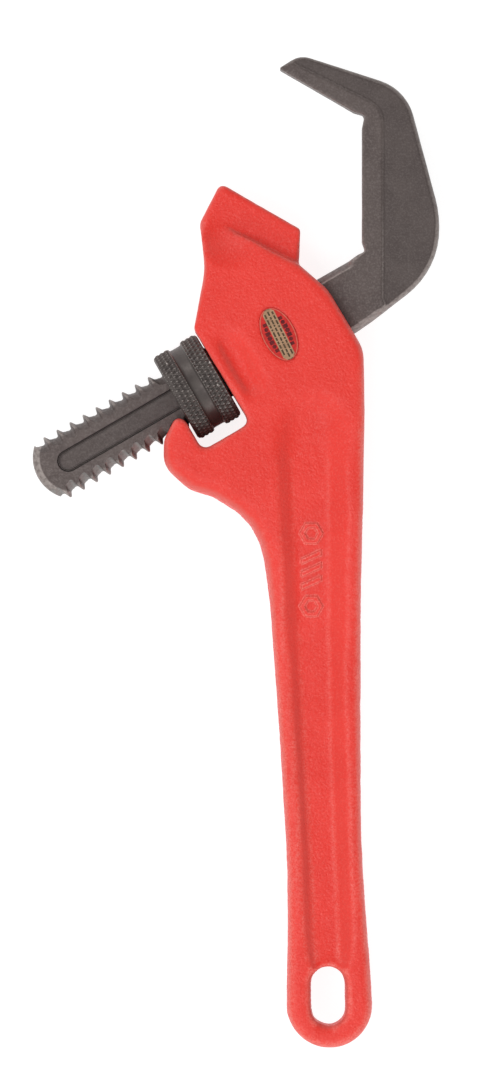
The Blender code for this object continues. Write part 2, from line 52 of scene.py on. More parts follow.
BEHAVIOUR = frame["record"]["behaviour"]
BODY_OF = {node: body for body, nodes in BEHAVIOUR["bodies"].items() for node in nodes}

# the shank's axes and its thread, from the joints
SLIDE = next(j for j in frame["joints"] if j["name"] == "hook_slide")
SPIN = next(j for j in frame["joints"] if j["name"] == "nut_spin")
TURNS_PER_METRE = BEHAVIOUR["couplings"][0]["ratio"] / math.tau
PITCH = 1 / TURNS_PER_METRE / MM
AXIS_U = Vector(SLIDE["axis"]).normalized()
AXIS_W = Vector((0, 0, 1))
AXIS_V = AXIS_W.cross(AXIS_U)
CENTRE = Vector(SPIN["pos_m"]) / MM
SHANK = Matrix.Translation(CENTRE) @ Matrix((AXIS_U, AXIS_V, AXIS_W)).transposed().to_4x4()

# threaded shank
THREAD_START = -85.27          # where a turn of the thread starts, which the nut's thread shares
THREAD_CREST = 9.2
SHANK_ROOT = 7.3
BORE_ROOT = 7.8
BORE_CREST = 9.5               # so the nut's thread clears the shank's by 0.3
SHANK_HALF = 5.4
SHANK_TIP = -77.7
SHANK_ROUND = 11.6             # radius of its end, seen flat
SHANK_EDGE = 1.9
SLOT_HALF = 3.05
SLOT_FROM, SLOT_TO = -71.0, 10.0
NECK_FROM = 17.3               # the hook's plain neck goes on from here
NECK_OVERLAP = 0.8
END_ARC_STEPS = 40             # straight steps in each arc
EDGE_ARC_STEPS = 8
SLOT_ARC_STEPS = 32

# the thread's outline over one pitch, as shares of the pitch and of the height from root to crest
SHANK_PROFILE = [(0.0, 0.1), (0.12, 0.0), (0.25, 0.04), (0.33, 0.2), (0.44, 0.9),
                 (0.48, 1.0), (0.52, 1.0), (0.57, 0.88), (0.72, 0.3), (0.86, 0.16)]
BORE_PROFILE = [(0.0, 0.0), (0.12, 0.01), (0.18, 0.1), (0.39, 0.93), (0.44, 1.0),
                (0.56, 1.0), (0.61, 0.93), (0.82, 0.1), (0.88, 0.01)]
CREST_LEAN = 0.05              # the share of a pitch by which the shank's crests lean over

# from a slot's floor outwards: how deep each step lies, and how far outside the slot's outline
SLOT_STEPS = [(0.38, -0.6), (0.62, -0.42), (0.64, -0.22), (0.14, -0.06), (0.0, 0.04), (-1.0, 0.3)]

# knurled nut, with a band at each end
NUT_MOUTH = 10.3               # radius of its flat ends' inner edge
NUT_BAND = 5.2
NUT_GROOVE = 0.8
KNURL_COUNT = 52
KNURL_SIDES = 8                # vertices around the nut for each of the knurl's points
KNURL_ANGLE = math.radians(30)
KNURL_DEPTH = 0.55

# printed label, as it lies in its seat
LABEL_TURN = math.radians(-63.7)
LABEL_STRIP = 0.37             # half the strip's width, as a share of half the label's
MARK_SPACING = 1.3
MARK_SIZE = 0.74               # the middle marks', and the outer ones are smaller
PRINT = 0.02                   # how thick each layer of print is
RED, RIM, CREAM, INK, MAROON = range(5)

# raised sign in the handle's panel: a hexagon ring at each end, and three slanted bars
SIGN_CENTRE = (9.3, -64.5)
SIGN_HALF_LENGTH = 13.0
SIGN_HALF_WIDTH = 2.6
SIGN_HEIGHT = 0.65
RING_INSET = 2.8               # from the sign's end to the ring's middle
RING_RADIUS = 2.2
RING_STROKE = 0.45             # half a stroke's width
BAR_SPACING = 3.6
BAR_SLANT = 0.45
BAR_NARROWING = 0.91           # what the slant takes off a bar's width
BAR_STROKE = 0.5
SIGN_ZONE = (4.2, 14.2)        # half the width and length of the area with smaller faces

# casting
DIP_DEPTH = 1.15               # of the hollow for the thumb
PARTING_HEIGHT = 0.22
PARTING_WIDTH = 0.55
SHANK_CLEAR = (9.9, 12.5)      # distances from the shank's axis over which the lumps begin
EYE_SPOT = (12.7, -193.7)      # a softly blended spot below the hanging hole

# fineness of the meshes, and the tilt that keeps their grid from running along an edge
CAST_VOXEL = 0.75
FORGED_VOXEL = 0.34
GRID_TILT = Euler((0.61, 0.43, 0.27)).to_matrix().to_4x4()

# floor and view in millimetres
FLOOR_HALF = 6000
FLOOR_DROP = 0.05
CAMERA_TARGET = (-9.55, -57.04, 13.5)
VIEW_HEIGHT = 305.17

# camera and lamps in metres: each lamp's name, place, size and power, and the dimmer wall's direction
CAMERA_DISTANCE = 2.6
LAMPS = [("key", (-0.35, -0.45, 1.5), 0.8, 7.6), ("fill", (0.45, -1.3, 0.7), 0.6, 4.2),
         ("rim", (-0.9, 1.0, 1.0), 0.6, 5.5)]
DIM_WALL = (0.75, 0.66, 0.0)


# ---- meshes -----------------------------------------------------------------------------------

def rows_of(items, name):
    """A property of three numbers of each item, as rows."""
    rows = np.empty(len(items) * 3, np.float32)
    items.foreach_get(name, rows)
    return rows.reshape(-1, 3).astype(float)


def move_vertices(mesh, points):
    """Put a mesh's vertices at points, given as rows."""
    mesh.vertices.foreach_set("co", points.astype(np.float32).ravel())
    mesh.update()


def node_points(node):
    """A CAD node's vertices in millimetres, as rows."""
    return rows_of(frame["nodes"][node].data.vertices, "co") / MM


def in_shank(points):
    """Rows of x, y, z as rows of u, v, w."""
    turn = np.array(SHANK.to_3x3())
    return (points - np.array(CENTRE)) @ turn


def new_object(name, points, faces):
    """A mesh object from points in millimetres."""
    mesh = bpy.data.meshes.new(name)
    mesh.from_pydata([tuple(p) for p in points], [], faces)
    mesh.validate()
    fix = bmesh.new()
    fix.from_mesh(mesh)
    bmesh.ops.recalc_face_normals(fix, faces=fix.faces)
    fix.to_mesh(mesh)
    fix.free()
    made = bpy.data.objects.new(name, mesh)
    bpy.context.scene.collection.objects.link(made)
    return made


def copy_node(name, node):
    """A copy of a CAD node's mesh in millimetres, without its materials."""
    mesh = frame["nodes"][node].data.copy()
    mesh.materials.clear()
    mesh.transform(Matrix.Scale(1 / MM, 4))
    made = bpy.data.objects.new(name, mesh)
    bpy.context.scene.collection.objects.link(made)
    weld = bmesh.new()
    weld.from_mesh(mesh)
    bmesh.ops.remove_doubles(weld, verts=weld.verts, dist=0.001)
    weld.to_mesh(mesh)
    weld.free()
    return made


def skin(name, rings):
    """A closed solid through rings of equal length, with a cap on the first and the last."""
    count = len(rings[0])
    points = [p for ring in rings for p in ring]
    faces = [list(range(count)), list(range(len(points) - count, len(points)))]
    for r in range(len(rings) - 1):
        for i in range(count):
            j = (i + 1) % count
            faces.append([r * count + i, r * count + j, (r + 1) * count + j, (r + 1) * count + i])
    return new_object(name, points, faces)


def apply(made, kind, **settings):
    """The object's mesh after one modifier."""
    modifier = made.modifiers.new(kind.lower(), kind)
    for key, value in settings.items():
        setattr(modifier, key, value)
    seen = made.evaluated_get(bpy.context.evaluated_depsgraph_get())
    result = bpy.data.meshes.new_from_object(seen)
    made.modifiers.clear()
    made.data = result
    return made


def combine(target, other, operation, solver="EXACT"):
    """Join another solid to the target, cut it away, or keep only what they share."""
    apply(target, "BOOLEAN", operation=operation, solver=solver, object=other)
    bpy.data.objects.remove(other, do_unlink=True)
    return target


def remesh(made, voxel):
    """Even quads over a solid, which lose their steps along its edges when they are smoothed."""
    made.data.transform(GRID_TILT)
    apply(made, "REMESH", mode="VOXEL", voxel_size=voxel)
    made.data.transform(GRID_TILT.inverted())
    return made


def smooth(made, rounds, mask=None, pull=0.5, push=-0.53):
    """Even out a mesh without shrinking it, by turns of pulling in and pushing out."""
    mesh = made.data
    count = len(mesh.vertices)
    points = rows_of(mesh.vertices, "co")
    weight = mask(points)[:, None] if mask else 1.0
    edges = np.empty(len(mesh.edges) * 2, np.int32)
    mesh.edges.foreach_get("vertices", edges)
    a, b = edges.reshape(-1, 2).T
    degree = np.maximum(np.bincount(a, minlength=count) + np.bincount(b, minlength=count), 1)
    for _ in range(rounds):
        for share in (pull, push):
            near = np.empty_like(points)
            for k in range(3):
                near[:, k] = np.bincount(a, points[b, k], count) + np.bincount(b, points[a, k], count)
            points += weight * share * (near / degree[:, None] - points)
    move_vertices(mesh, points)
    return made


def displace(made, height):
    """Move each vertex along its normal by height(points, normals), in millimetres."""
    points = rows_of(made.data.vertices, "co")
    normals = rows_of(made.data.vertex_normals, "vector")
    move_vertices(made.data, points + normals * height(points, normals)[:, None])
    return made


def lumps(points, size, seed):
    """Smooth random heights from -1 to 1 over points, with lumps of a size in millimetres."""
    offset = Vector((seed * 17.3, seed * 5.1, seed * 9.7))
    return np.array([noise.noise(Vector(p) / size + offset) for p in points])


def fade(value, low, high):
    """0 below low, 1 above high, and smooth between them."""
    t = np.clip((value - low) / (high - low), 0, 1)
    return t * t * (3 - 2 * t)


def refine(made, inside, cuts):
    """Smaller faces where inside(centre) says so."""
    fine = bmesh.new()
    fine.from_mesh(made.data)
    chosen = {edge for face in fine.faces if inside(face.calc_center_median()) for edge in face.edges}
    bmesh.ops.subdivide_edges(fine, edges=list(chosen), cuts=cuts, use_grid_fill=True)
    bmesh.ops.triangulate(fine, faces=[face for face in fine.faces if len(face.verts) > 4])
    fine.to_mesh(made.data)
    fine.free()
    return made


def finish_piece(made, name, node, paints, sharp=None, coats=None):
    """Scale a piece to metres, paint it, and let it stand for its CAD node."""
    made.name = name
    made.data.name = name
    made.data.transform(Matrix.Scale(MM, 4))
    made.data.materials.clear()
    for paint in paints:
        made.data.materials.append(paint)
    made.data.polygons.foreach_set("material_index", coats or [0] * len(made.data.polygons))
    made.data.shade_smooth()
    if sharp:
        made.data.set_sharp_from_angle(angle=math.radians(sharp))
    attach(made, BODY_OF[node])
    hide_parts(node)
    return made


# ---- material nodes ---------------------------------------------------------------------------

class Tree:
    """A node tree under construction, with short calls for the nodes it uses."""

    def __init__(self, tree):
        self.nodes, self.links = tree.nodes, tree.links

    def put(self, socket, value):
        """Link another node's output to the socket, or set the socket's own value."""
        if hasattr(value, "is_output"):
            self.links.new(value, socket)
        else:
            socket.default_value = value

    def node(self, kind, values=None, **settings):
        """A new node with settings, whose inputs are linked or set."""
        made = self.nodes.new(kind)
        for key, value in settings.items():
            setattr(made, key, value)
        for socket, value in (values or {}).items():
            self.put(made.inputs[socket], value)
        return made

    def math(self, operation, a, b=0.0):
        """One sum with one or two numbers."""
        return self.node("ShaderNodeMath", {0: a, 1: b}, operation=operation).outputs["Value"]

    def product(self, first, *others):
        """Several numbers multiplied."""
        for other in others:
            first = self.math("MULTIPLY", first, other)
        return first

    def largest(self, first, *others):
        """The largest of several numbers."""
        for other in others:
            first = self.math("MAXIMUM", first, other)
        return first

    def apart(self, vector):
        """A vector's x, y and z."""
        return list(self.node("ShaderNodeSeparateXYZ", {"Vector": vector}).outputs)

    def span(self, source, low, high, to_low=0.0, to_high=1.0):
        """The source's span from low to high, stretched to another span and held at its ends."""
        values = {"Value": source, "From Min": low, "From Max": high,
                  "To Min": to_low, "To Max": to_high}
        made = self.node("ShaderNodeMapRange", values, interpolation_type="SMOOTHSTEP")
        return made.outputs["Result"]


class Paint(Tree):
    """A material, whose places and sizes are in millimetres."""

    def __init__(self, name, **constants):
        self.material = bpy.data.materials.new(name)
        self.material.use_nodes = True
        super().__init__(self.material.node_tree)
        self.shader = self.nodes["Principled BSDF"]
        for socket, value in constants.items():
            self.shader.inputs[socket.replace("_", " ")].default_value = value
        self.metres = self.nodes.new("ShaderNodeTexCoord").outputs["Object"]

    def set(self, socket, source):
        """Link a source to one of the material's own inputs."""
        self.links.new(source, self.shader.inputs[socket])

    def noise(self, size, detail=2.0, roughness=0.5):
        """Noise from 0 to 1 with lumps of a size."""
        values = {"Vector": self.metres, "Scale": 1 / (size * MM), "Detail": detail,
                  "Roughness": roughness}
        return self.node("ShaderNodeTexNoise", values).outputs["Fac"]

    def place(self, location=(0, 0, 0), rotation=(0, 0, 0)):
        """The place's three numbers in a frame with another origin and turn."""
        values = {"Vector": self.metres, "Location": Vector(location) * MM, "Rotation": rotation,
                  "Scale": (MM, MM, MM)}
        turned = self.node("ShaderNodeMapping", values, vector_type="TEXTURE")
        return self.apart(turned.outputs["Vector"])

    def edges(self):
        """Above 0.5 on outer edges and below it in corners."""
        return self.node("ShaderNodeNewGeometry").outputs["Pointiness"]

    def upright(self):
        """1 on a flat face of the wrench and 0 on its sides."""
        normal = self.node("ShaderNodeNewGeometry").outputs["Normal"]
        return self.math("ABSOLUTE", self.apart(normal)[2])

    def off(self, value, line):
        """How far a value is from a line, on either side."""
        return self.math("ABSOLUTE", self.math("SUBTRACT", value, line))

    def length(self, a, b):
        """The length of a vector with two parts."""
        return self.math("SQRT", self.math("ADD", self.product(a, a), self.product(b, b)))

    def blend(self, share, first, second):
        """A colour between two, by a share from 0 to 1."""
        made = self.node("ShaderNodeMix", {"Factor": share}, data_type="RGBA")
        for socket, value in ((made.inputs[6], first), (made.inputs[7], second)):
            self.put(socket, (*value, 1) if isinstance(value, tuple) else value)
        return made.outputs[2]

    def bump(self, height, depth, before=None):
        """A normal that shows a height from 0 to 1 as a depth, over the bumps before it."""
        values = {"Height": height, "Distance": depth * MM, "Strength": 1.0}
        if before:
            values["Normal"] = before
        return self.node("ShaderNodeBump", values).outputs["Normal"]


def red_paint():
    """Semi-gloss red paint over a pebbled sand casting, with painted sheen on its roundings, painted highlight
    lines along its edges and painted shade in its corners.
    """
    paint = Paint("red_paint", Metallic=0.0, Specular_IOR_Level=0.38)
    tone = paint.noise(14, 2)
    red = paint.blend(paint.span(tone, 0.35, 0.65), (0.745, 0.028, 0.017), (0.78, 0.033, 0.021))
    grit = paint.span(paint.noise(0.6, 2), 0.48, 0.75)
    red = paint.blend(paint.product(grit, 0.5), red, (0.83, 0.085, 0.065))
    # painted sheen: the roundings between the flat faces and the sides are painted lighter and pinker
    rounding = paint.product(paint.span(paint.upright(), 0.97, 0.6),
                             paint.span(paint.upright(), 0.1, 0.4))
    red = paint.blend(paint.product(rounding, 0.55), red, (0.62, 0.12, 0.10))
    x, y, _ = paint.place()
    # painted highlight lines: the feet of the handle's walls and the edges of its lips, painted lighter pink in
    # specks
    foot = paint.product(paint.span(paint.edges(), 0.496, 0.473), paint.span(y, -13, -19))
    lip = paint.product(paint.span(paint.edges(), 0.505, 0.534), paint.span(y, -4, -14, 0.15, 1.0),
                        paint.span(x, -9, -4, 0.3, 1.0))
    speckled = paint.span(paint.noise(0.5, 2), 0.38, 0.62, 0.2, 0.9)
    red = paint.blend(paint.product(paint.largest(foot, lip), speckled), red, (0.85, 0.175, 0.145))
    # painted shade: the casting's corners are painted darker
    corner_shade = paint.span(paint.edges(), 0.465, 0.42, 0.0, 0.5)
    red = paint.blend(corner_shade, red, (0.50, 0.018, 0.014))
    paint.set("Base Color", red)
    paint.set("Roughness", paint.span(paint.noise(1.6, 3), 0.3, 0.7, 0.34, 0.50))
    pebbles = paint.bump(paint.noise(0.65, 2, 0.55), 0.20)
    paint.set("Normal", paint.bump(paint.noise(2.2, 1), 0.12, pebbles))
    return paint.material


def hook_wear_and_highlights(paint, u, v, on_hook):
    """Where the hook is painted lighter: its roundings, from wear and as painted sheen, less so higher up, and two
    painted highlight lines along its neck.
    """
    rounding = paint.product(paint.span(paint.upright(), 0.97, 0.75),
                             paint.span(paint.upright(), 0.0, 0.3, 0.4, 1.0))
    # painted light from below: the lightening fades higher up, and on the neck's upper side
    dimming = paint.span(paint.place()[1], 45, 18, 0.35, 0.9)
    on_neck = paint.product(paint.span(u, 12, 14), paint.span(u, 29, 27))
    upper_side = paint.product(on_neck, paint.span(v, 6.8, 7.3, 0.0, 0.65))
    rounding_wear_and_sheen = paint.product(rounding, dimming, on_hook, paint.math("SUBTRACT", 1.0, upper_side))
    # painted highlight lines along the neck's two edges
    from_line = paint.math("MINIMUM", paint.off(v, 7.4), paint.off(v, -7.9))
    return paint.largest(rounding_wear_and_sheen, paint.product(paint.span(from_line, 0.30, 0.12), on_neck))


def end_rim_highlight(paint, u, v):
    """The painted highlight on the rounding of the shank's round end."""
    rim = SHANK_ROUND - SHANK_EDGE
    from_end = paint.length(paint.math("SUBTRACT", u, SHANK_TIP + SHANK_ROUND), v)
    return paint.product(paint.span(from_end, rim - 0.3, rim + 0.1), paint.span(u, -66, -69))


def slot_shade(paint, u, v):
    """Painted shade in the shank's slots: lines along the wall and its foot, and less of it on the floor."""
    half = (SLOT_TO - SLOT_FROM - SLOT_HALF) / 2
    beyond = paint.math("SUBTRACT", paint.off(u, SLOT_TO - half), half)
    from_middle = paint.length(paint.largest(beyond, 0.0), v)
    wall, foot = SLOT_HALF - 0.1, SLOT_HALF - 0.85
    return paint.largest(paint.span(paint.off(from_middle, wall), 0.3, 0.12, 0.0, 0.85),
                         paint.span(paint.off(from_middle, foot), 0.25, 0.10, 0.0, 0.6),
                         paint.product(paint.math("LESS_THAN", from_middle, wall), 0.28))


def forged_steel():
    """Dark phosphated forging, lighter from wear on its thread's crests, from wear and painted sheen on its outer
    roundings, with painted highlights and glints, and painted shade in its corners, slots and sunken web.
    """
    paint = Paint("forged_steel", Metallic=0.3)
    u, v, w = paint.place(CENTRE, SHANK.to_euler())
    tone = paint.noise(7, 4)
    steel = paint.blend(paint.span(tone, 0.3, 0.7), (0.078, 0.058, 0.054), (0.098, 0.075, 0.069))
    grain = paint.span(paint.noise(0.55, 2), 0.40, 0.75)
    steel = paint.blend(paint.product(grain, 0.5), steel, (0.165, 0.136, 0.127))

    on_hook, on_shank = paint.span(u, 18, 19), paint.span(u, 18, 17)
    # painted shade: the hook's sunken web is painted darker on its flat faces
    sunk = paint.product(paint.span(paint.math("ABSOLUTE", w), 5.42, 5.28), on_hook,
                         paint.span(paint.upright(), 0.9, 0.97, 0.0, 0.3))
    steel = paint.blend(sunk, steel, (0.040, 0.030, 0.028))

    from_axis = paint.length(v, w)
    crest = paint.product(paint.span(from_axis, 8.4, 9.1), on_shank, 0.75)
    # painted glints: the thread's roots on the shank's lower side, on faces turned sideways, are painted lighter
    lower_root_glint = paint.product(paint.span(from_axis, 7.9, 7.6), paint.span(v, -4.2, -5.2, 0.0, 0.6),
                               paint.span(paint.upright(), 0.95, 0.85), on_shank)
    # lighter from wear on the crests and the hook's roundings, and as painted sheen, highlights and glints
    lightened = paint.largest(hook_wear_and_highlights(paint, u, v, on_hook), crest, lower_root_glint,
                         end_rim_highlight(paint, u, v))
    patchy = paint.product(lightened, paint.span(paint.noise(1.1, 3), 0.3, 0.6, 0.35, 0.75))
    steel = paint.blend(patchy, steel, (0.34, 0.295, 0.275))
    # painted reflection: the lower roots' glints are also painted a pale grey-green
    steel = paint.blend(paint.product(lower_root_glint, 0.6), steel, (0.20, 0.22, 0.215))

    # painted shade: the hook's corners, and the lines and floor of the slots, are painted darker
    corners = paint.product(paint.span(paint.edges(), 0.485, 0.44, 0.0, 0.7), on_hook)
    steel = paint.blend(paint.largest(slot_shade(paint, u, v), corners), steel, (0.026, 0.020, 0.019))
    paint.set("Base Color", steel)
    paint.set("Roughness", paint.span(paint.noise(1.3, 3), 0.3, 0.7, 0.42, 0.60))
    paint.set("Normal", paint.bump(paint.noise(0.45, 3, 0.6), 0.05))
    return paint.material


def nut_steel():
    """Dark phosphate on the nut, brighter from wear on the knurl's points, with painted shade in its hollows."""
    paint = Paint("nut_steel", Metallic=0.55)
    tone = paint.noise(4, 3)
    steel = paint.blend(paint.span(tone, 0.3, 0.7), (0.060, 0.048, 0.045), (0.084, 0.070, 0.064))
    # painted shade: the knurl's hollows are painted darker
    hollow = paint.span(paint.edges(), 0.48, 0.40, 0.0, 0.7)
    steel = paint.blend(hollow, steel, (0.018, 0.015, 0.014))
    # lighter from wear on the knurl's points
    lightened = paint.span(paint.edges(), 0.525, 0.62, 0.0, 0.8)
    steel = paint.blend(lightened, steel, (0.50, 0.45, 0.42))
    paint.set("Base Color", steel)
    paint.set("Roughness", paint.span(paint.noise(0.8, 3), 0.3, 0.7, 0.36, 0.50))
    paint.set("Normal", paint.bump(paint.noise(0.5, 3), 0.012))
    return paint.material


def spring_steel():
    """Oiled spring steel with fine drawing marks."""
    paint = Paint("spring_steel", Metallic=1.0)
    grain = paint.noise(0.4, 3)
    paint.set("Base Color", paint.blend(grain, (0.22, 0.22, 0.24), (0.42, 0.43, 0.46)))
    paint.set("Roughness", paint.span(grain, 0.3, 0.7, 0.22, 0.38))
    paint.set("Normal", paint.bump(grain, 0.01))
    return paint.material


def printed(name, colour, darker):
    """Print on the label, a little uneven."""
    paint = Paint(name, Metallic=0.0, Specular_IOR_Level=0.2)
    uneven = paint.span(paint.noise(0.9, 3), 0.3, 0.7)
    paint.set("Base Color", paint.blend(uneven, colour, darker))
    paint.set("Roughness", paint.span(paint.noise(1.5, 2), 0.3, 0.7, 0.32, 0.48))
    paint.set("Normal", paint.bump(paint.noise(1.2, 2), 0.01))
    return paint.material


# ---- handle and housing -----------------------------------------------------------------------

def casting_skin(points, normals):
    """Low lumps of a sand casting and its parting line, left out where the shank and the nut run."""
    places = in_shank(points)
    across = np.hypot(places[:, 1], places[:, 2])
    free = fade(across, *SHANK_CLEAR)
    height = 0.06 * lumps(points, 8.0, 1) + 0.035 * lumps(points, 2.4, 2)
    sideways = fade(np.hypot(normals[:, 0], normals[:, 1]), 0.9, 0.98)
    ragged = 0.7 + 0.3 * lumps(points, 3.0, 3)
    from_parting = (points[:, 2] - CENTRE.z) / PARTING_WIDTH
    parting = PARTING_HEIGHT * ragged * np.exp(-from_parting ** 2) * sideways
    along_handle = fade(-points[:, 1], 38, 48) * fade(points[:, 1], -199.5, -190)
    parting *= along_handle + 0.35
    return (height + parting) * free


def sign_distance(points):
    """How far places lie outside the sign: a hexagon ring, three slanted bars and another ring."""
    along = -(points[:, 1] - SIGN_CENTRE[1])
    across = points[:, 0] - SIGN_CENTRE[0]
    found = np.full(len(points), np.inf)
    for middle in (-SIGN_HALF_LENGTH + RING_INSET, SIGN_HALF_LENGTH - RING_INSET):
        a, b = np.abs(along - middle), np.abs(across)
        from_middle = np.maximum(b * math.cos(math.pi / 6) + a / 2, a)
        found = np.minimum(found, np.abs(from_middle - RING_RADIUS) - RING_STROKE)
    for middle in (-BAR_SPACING, 0.0, BAR_SPACING):
        slant = np.abs(along - middle + BAR_SLANT * across) * BAR_NARROWING - BAR_STROKE
        found = np.minimum(found, np.maximum(slant, np.abs(across) - SIGN_HALF_WIDTH))
    return found


def raised_sign(points, normals):
    """The sign's raised strokes on the panel's floor, with soft edges."""
    stroke = 1 - fade(sign_distance(points), -0.1, 0.5)
    return SIGN_HEIGHT * stroke * fade(np.abs(normals[:, 2]), 0.8, 0.95)


def sign_zone(place):
    """Whether a place is on or near the sign, on either side of the handle."""
    across, along = abs(place.x - SIGN_CENTRE[0]), abs(place.y - SIGN_CENTRE[1])
    return across < SIGN_ZONE[0] and along < SIGN_ZONE[1] and abs(place.z - CENTRE.z) > 4


def thumb_dip(points, normals):
    """A hollow for the thumb beside the nut, with its steep side towards the nut."""
    places = in_shank(points)
    u, v = places[:, 0], places[:, 1]
    across = fade(u, -16.4, -13.7) * fade(-u, 7.5, 13.2)
    along = fade(v, -12, -6) * fade(-v, -11, -5)
    return -DIP_DEPTH * across * along * fade(np.abs(normals[:, 2]), 0.5, 0.8)


def soft_places(points):
    """Where the casting is blended softly: at the panel's top, the thumb dip and below the hole."""
    places = in_shank(points)
    u, v = places[:, 0], places[:, 1]
    panel = fade(points[:, 1], -36, -26) * fade(-points[:, 1], 8, 14) * fade(points[:, 0], -4, 0)
    panel *= fade(-points[:, 0], -21.5, -20)
    dip = fade(u, -17.2, -15.6) * fade(-u, 6.5, 9) * fade(v, -15, -12)
    dip *= fade(-v, -13, -11)
    outer = fade(np.abs(points[:, 2] - CENTRE.z), 7.4, 9.0)
    eye = 1 - fade(np.hypot(points[:, 0] - EYE_SPOT[0], points[:, 1] - EYE_SPOT[1]), 1.5, 3.0)
    return np.maximum(np.maximum(panel, dip) * outer, 0.6 * eye)


def casting():
    """The handle, the housing and the heel jaw, cast in one."""
    made = remesh(copy_node("casting", "handle_housing"), CAST_VOXEL)
    smooth(made, 12)
    smooth(made, 30, soft_places, push=0.0)
    displace(made, thumb_dip)
    displace(made, casting_skin)
    refine(made, sign_zone, 3)
    displace(made, raised_sign)
    return finish_piece(made, "handle_casting", "handle_housing", [red_paint()])


# ---- hook jaw ---------------------------------------------------------------------------------

def threaded_rod(name, profile, start, turns, root, crest, lean=0.0, sides=96):
    """A right-hand threaded rod along u, with one crest and one root in each pitch."""
    per_turn = len(profile)
    rows = per_turn * turns + 1
    points = []
    for side in range(sides):
        angle = math.tau * side / sides
        for row in range(rows):
            part, share = profile[row % per_turn]
            radius = root + (crest - root) * share
            turned = row // per_turn + part + side / sides
            u = start + PITCH * (turned - lean * share * math.cos(angle))
            points.append((u, radius * math.cos(angle), radius * math.sin(angle)))
    faces = []
    for side in range(sides):
        seam = side == sides - 1
        shift = per_turn if seam else 0
        following = 0 if seam else side + 1
        for row in range(rows - 1 - shift):
            a, b = side * rows + row, following * rows + row + shift
            faces.append([a, a + 1, b + 1, b])
    last = (sides - 1) * rows
    foot = [side * rows for side in range(sides)] + list(range(per_turn, 0, -1))
    head = [side * rows + rows - 1 for side in range(sides)]
    head += [last + row for row in range(rows - 2, rows - 2 - per_turn, -1)]
    for loop in (foot, head):
        middle = sum(points[i][0] for i in loop) / len(loop)
        points.append((middle, 0.0, 0.0))
        faces += [[loop[i], loop[(i + 1) % len(loop)], len(points) - 1] for i in range(len(loop))]
    return new_object(name, points, faces)


def shank_blank():
    """The shank's flat bar with a round end, whose edges are rounded."""
    half = THREAD_CREST + 0.1
    middle = SHANK_TIP + SHANK_ROUND
    spread = math.asin(half / SHANK_ROUND)
    arc = [math.pi - spread + 2 * spread * k / END_ARC_STEPS for k in range(END_ARC_STEPS + 1)]
    shoulder = NECK_FROM + NECK_OVERLAP
    upper = []
    for k in range(EDGE_ARC_STEPS + 1):
        lean = math.pi / 2 * k / EDGE_ARC_STEPS
        radius = SHANK_ROUND - SHANK_EDGE * (1 - math.cos(lean))
        w = SHANK_HALF - SHANK_EDGE * (1 - math.sin(lean))
        ring = [(middle + radius * math.cos(a), radius * math.sin(a), w) for a in arc]
        upper.append(ring + [(shoulder, -half, w), (shoulder, half, w)])
    lower = [[(u, v, -w) for u, v, w in ring] for ring in reversed(upper)]
    return skin("blank", lower + upper)


def slot_cutter(sign):
    """The cutter for the slot in one flat of the shank, deeper along its foot."""
    rings = []
    for depth, grow in SLOT_STEPS:
        radius = SLOT_HALF + grow
        ring = []
        for centre, start in ((SLOT_TO, -math.pi / 2), (SLOT_FROM + SLOT_HALF, math.pi / 2)):
            for k in range(SLOT_ARC_STEPS + 1):
                angle = start + math.pi * k / SLOT_ARC_STEPS
                w = sign * (SHANK_HALF - depth)
                ring.append((centre + radius * math.cos(angle), radius * math.sin(angle), w))
        rings.append(ring)
    return skin("slot", rings)


def threaded_shank():
    """The shank: a threaded rod between two flats, with a slot in each."""
    turns = math.ceil((NECK_FROM - THREAD_START) / PITCH) + 3
    made = threaded_rod("shank", SHANK_PROFILE, THREAD_START, turns, SHANK_ROOT, THREAD_CREST,
                        CREST_LEAN)
    combine(made, shank_blank(), "INTERSECT")
    for sign in (1, -1):
        combine(made, slot_cutter(sign), "DIFFERENCE")
    made.data.transform(SHANK)
    return made


def hook_root(points):
    """Where the hook's rounded edges run into the neck's, as a share."""
    places = in_shank(points)
    near = fade(places[:, 0], 25.2, 27) * fade(-places[:, 0], -32, -30)
    return near * fade(np.abs(places[:, 1]), 6.4, 7.6) * fade(-places[:, 1], -10.5, -9.6)


def hook_blank():
    """The hook and its plain neck, cut off the shank and made smooth."""
    made = copy_node("hook", "hook_jaw")
    cut = bmesh.new()
    cut.from_mesh(made.data)
    place = SHANK @ Vector((NECK_FROM, 0, 0))
    every = cut.verts[:] + cut.edges[:] + cut.faces[:]
    found = bmesh.ops.bisect_plane(cut, geom=every, plane_co=place, plane_no=AXIS_U, clear_inner=True)
    rim = [e for e in found["geom_cut"] if isinstance(e, bmesh.types.BMEdge)]
    bmesh.ops.contextual_create(cut, geom=rim)
    bmesh.ops.triangulate(cut, faces=cut.faces)
    bmesh.ops.recalc_face_normals(cut, faces=cut.faces)
    cut.to_mesh(made.data)
    cut.free()
    smooth(remesh(made, FORGED_VOXEL), 5)
    return smooth(made, 14, hook_root, push=0.0)


def forging_skin(points, normals):
    """The forging's faint lumps."""
    return 0.04 * lumps(points, 7.0, 4) + 0.012 * lumps(points, 1.6, 5)


def hook():
    """The hook, its neck and the threaded shank, forged in one."""
    made = hook_blank()
    displace(made, forging_skin)
    combine(made, threaded_shank(), "UNION", "MANIFOLD")
    return finish_piece(made, "hook_forging", "hook_jaw", [forged_steel()], sharp=38)


# ---- nut --------------------------------------------------------------------------------------

def ramp(value):
    """A zigzag from 0 to 1 and back over each whole number."""
    return 1 - np.abs(2 * (value % 1) - 1)


